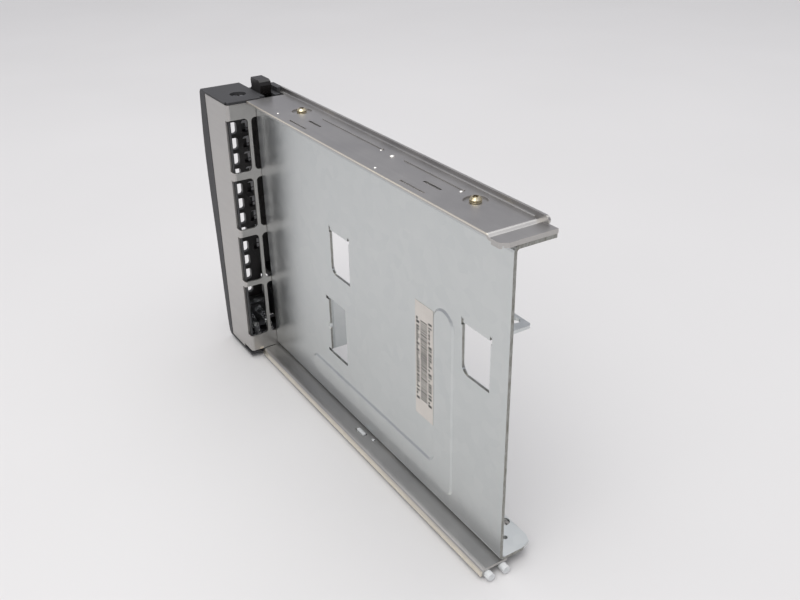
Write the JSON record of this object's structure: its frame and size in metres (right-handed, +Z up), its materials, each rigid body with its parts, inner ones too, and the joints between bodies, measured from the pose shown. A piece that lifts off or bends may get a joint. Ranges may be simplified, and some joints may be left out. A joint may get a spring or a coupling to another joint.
{
  "type": "hot-swap drive tray with converter plate",
  "caption": "Sheet-metal 3.5 inch hot-swap drive tray with a grille bezel, swing-out lever, release button, light pipes and a plate that adapts the bay to a 2.5 inch drive.",
  "frame": {"origin": "middle of the footprint, on the surface the tray stands on when it stands on its long side", "axes": "+X towards the end that goes into the chassis, -X towards the bezel, +Y towards the side where the drive lies, +Z up, towards the lever's pivot"},
  "size_m": [0.1806, 0.026, 0.1122],
  "materials": {
    "galvanised": "galvanised sheet with a faint spangle, half bright",
    "zinc_sheet": "zinc plated sheet, satin, slightly violet grey",
    "bezel_plastic": "moulded, fine texture, semi-gloss dark grey",
    "dark_plastic": "moulded black",
    "button_plastic": "moulded black, ridged pad",
    "clear_plastic": "clear acrylic, polished ends",
    "label_paper": null,
    "screw_steel": "bright yellow-zinc plated",
    "spring_steel": "bright drawn wire and pin"
  },
  "bodies": {
    "tray": {"converter_plate": "galvanised", "front_wall": "zinc_sheet", "upper_rail": "zinc_sheet", "lower_rail": "zinc_sheet", "bezel_frame": "bezel_plastic", "bezel_grille": "dark_plastic", "lever_pivot_pin": "spring_steel", "pin_retaining_ring": "spring_steel", "lever_torsion_spring": "spring_steel", "button_return_spring": "spring_steel", "light_pipe_outer": "clear_plastic", "light_pipe_inner": "clear_plastic", "light_pipe_holder": "clear_plastic", "pipe_clip_front": "clear_plastic", "pipe_clip_middle": "clear_plastic", "pipe_clip_rear": "clear_plastic", "plate_label": "label_paper", "plate_screw_upper_front": "screw_steel", "plate_screw_upper_rear": "screw_steel", "plate_screw_lower_front": "screw_steel", "plate_screw_lower_rear": "screw_steel", "bezel_screw_upper": "screw_steel", "bezel_screw_lower": "screw_steel"},
    "lever": {"lever_handle": "dark_plastic"},
    "button": {"release_button": "button_plastic"}
  },
  "joints": [
    {"name": "lever_pivot", "type": "hinge", "parent": "tray", "child": "lever", "pos_m": [-0.08195, 0.00545, 0.1011], "axis": [0, 1, 0], "range_deg": [0, 40]},
    {"name": "button_slide", "type": "slide", "parent": "tray", "child": "button", "axis": [0, 0, -1], "range_m": [0, 0.0022], "stiffness_N_per_m": 300, "springref_m": -0.002, "deforming": ["button_return_spring"]}
  ]
}
